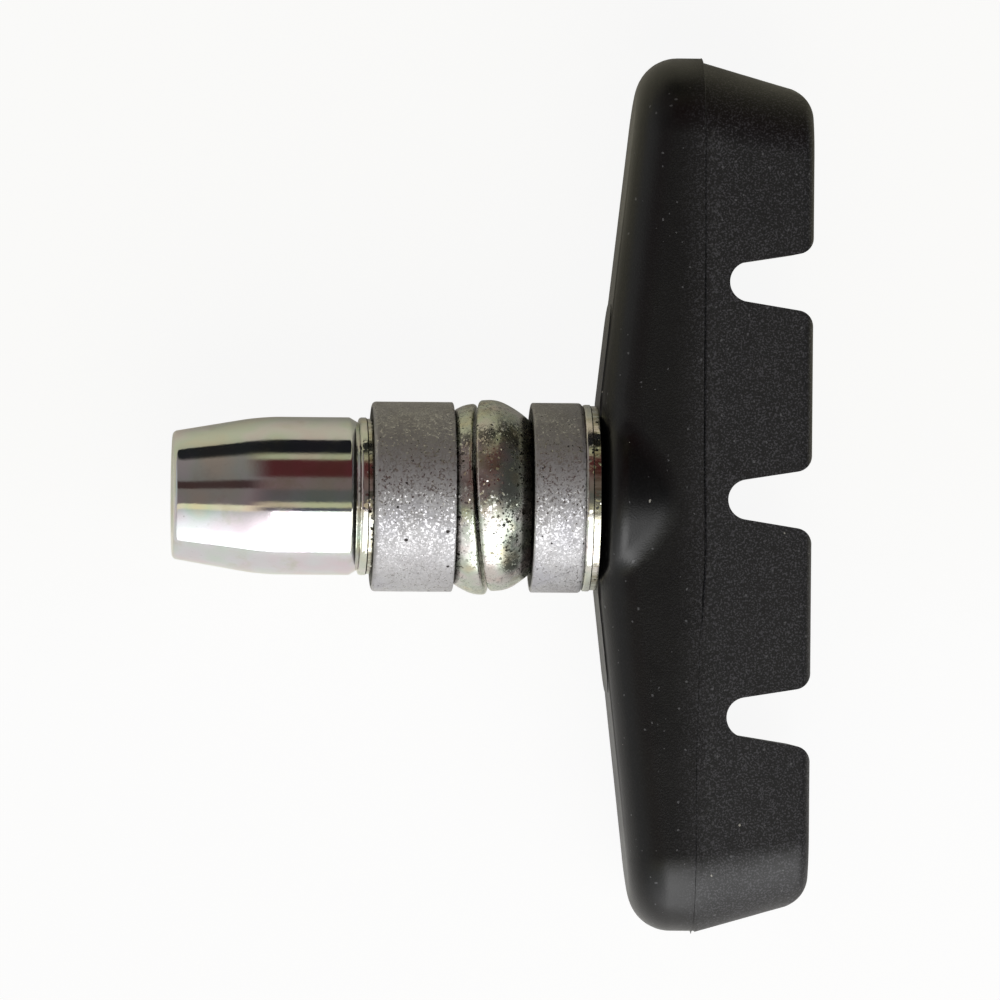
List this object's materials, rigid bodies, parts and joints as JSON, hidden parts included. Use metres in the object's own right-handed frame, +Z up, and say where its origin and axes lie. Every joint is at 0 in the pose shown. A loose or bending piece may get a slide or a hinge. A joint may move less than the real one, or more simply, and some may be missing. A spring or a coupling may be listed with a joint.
{
  "type": "bicycle rim brake pad",
  "caption": "Long black rubber brake shoe on a threaded stud, with ball-seated cup and dome washers and a sleeve nut that clamp it to a brake arm.",
  "frame": {"origin": "on the stud's axis, in the plane of the shoe's flat seat", "axes": "+X along the stud towards the rim, +Y along the shoe, +Z up as the part lies on its side"},
  "size_m": [0.0525, 0.072, 0.0164],
  "materials": {
    "rubber": "moulded, satin, a little dusty",
    "plated_steel": "zinc plated, bright",
    "grey_alloy": "matt, tumbled",
    "plain_steel": "plain, sealed in the rubber"
  },
  "bodies": {
    "shoe": {"rubber_shoe": "rubber", "backing_plate": "plain_steel", "stud": "plated_steel", "inner_washer": "plated_steel", "inner_cup": "grey_alloy"},
    "inner_dome": {"inner_dome": "plated_steel"},
    "outer_stack": {"outer_washer": "plated_steel", "outer_cup": "grey_alloy"},
    "outer_dome": {"outer_dome": "plated_steel"},
    "nut": {"sleeve_nut": "plated_steel"}
  },
  "joints": [
    {"name": "dome_swivel", "type": "hinge", "parent": "shoe", "child": "inner_dome", "pos_m": [-0.01137, 0, 0], "axis": [0, -0.8988, 0.4384], "range_deg": [-16.8, 1.2]},
    {"name": "stack_slide", "type": "slide", "parent": "shoe", "child": "outer_stack", "axis": [-1, 0, 0], "range_m": [0, 0.008]},
    {"name": "outer_dome_swivel", "type": "hinge", "parent": "outer_stack", "child": "outer_dome", "pos_m": [-0.00701, 0, 0], "axis": [0, -0.8988, 0.4384], "range_deg": [-16.8, 1.2]},
    {"name": "nut_turn", "type": "hinge", "parent": "outer_stack", "child": "nut", "pos_m": [0, 0, 0], "axis": [-1, 0, 0], "range_deg": [0, 2880]}
  ],
  "couplings": [
    {"joint": "stack_slide", "follows": "nut_turn", "m_per_rad": 0.00015915},
    {"joint": "outer_dome_swivel", "follows": "dome_swivel", "ratio": 1}
  ]
}
